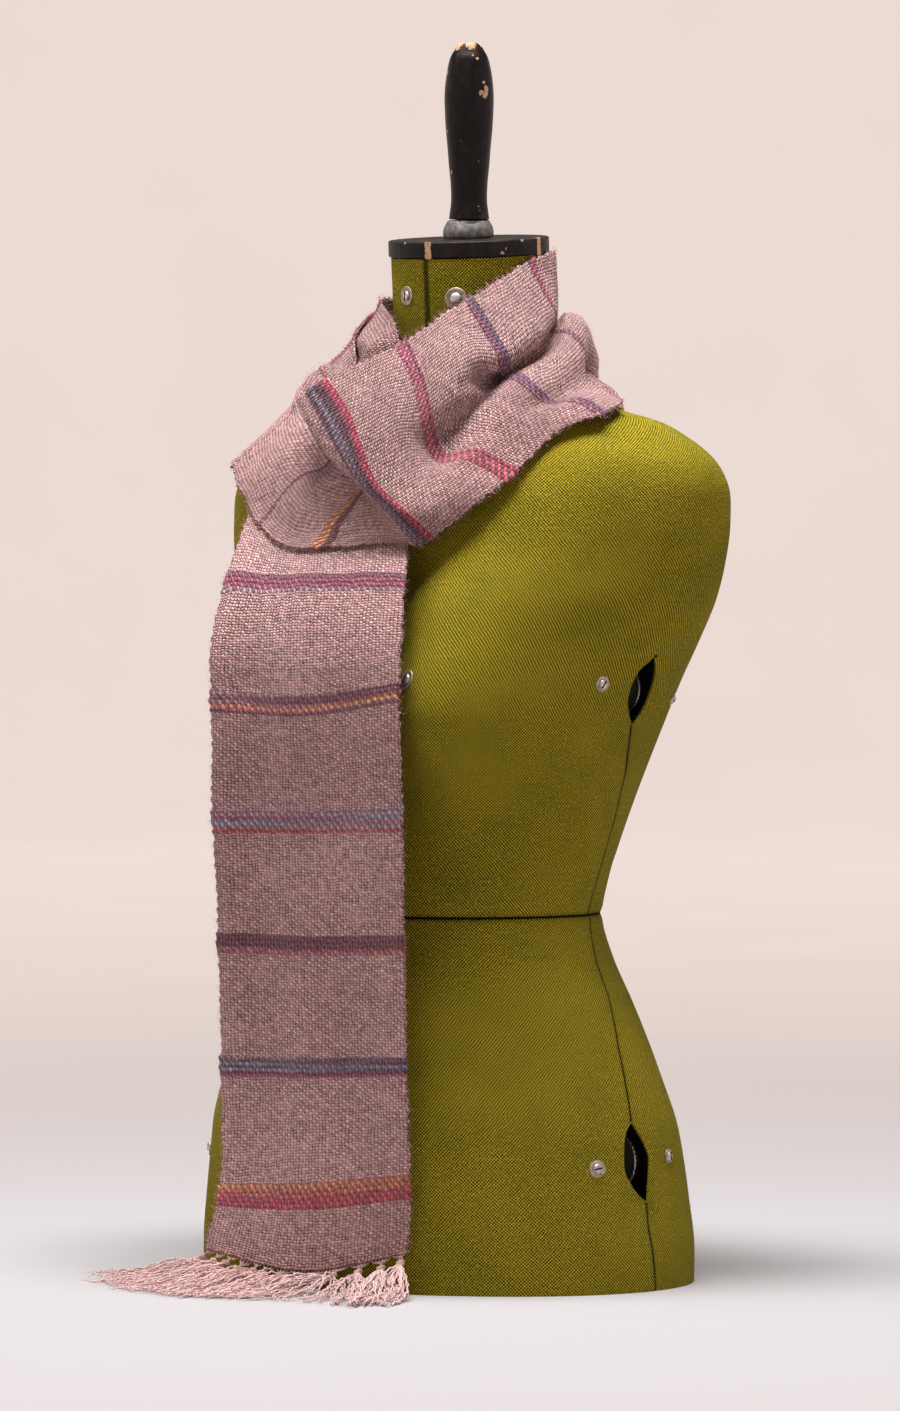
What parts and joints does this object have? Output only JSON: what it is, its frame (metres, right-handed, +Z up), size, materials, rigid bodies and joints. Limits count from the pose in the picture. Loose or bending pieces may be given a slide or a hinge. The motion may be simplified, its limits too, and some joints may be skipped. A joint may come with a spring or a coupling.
{
  "type": "wool scarf on a dress form",
  "caption": "Striped handwoven wool scarf with knotted fringe, wound round the neck of a limbless dress form with a turned handle.",
  "frame": {"origin": "middle of the flat base that the dress form stands on", "axes": "+Z up, -Y the way the form faces, +X the form's left"},
  "size_m": [0.3562, 0.3792, 0.7934],
  "materials": {
    "wool": "brushed plain weave, matt",
    "fringe_wool": "loose knotted yarn, matt",
    "form_cloth": "coarse canvas, matt",
    "cap_paint": "worn black paint",
    "collar_metal": "dull turned metal",
    "handle_paint": "worn glossy black paint"
  },
  "bodies": {
    "root": {"scarf_front_tail": "wool", "scarf_neck_back": "wool", "scarf_front_band": "wool", "scarf_shoulder_turn": "wool", "scarf_back_tail": "wool", "fringe_front": "fringe_wool", "fringe_back": "fringe_wool", "form_torso": "form_cloth", "form_neck_cap": "cap_paint", "form_collar": "collar_metal", "form_handle": "handle_paint"}
  },
  "joints": []
}
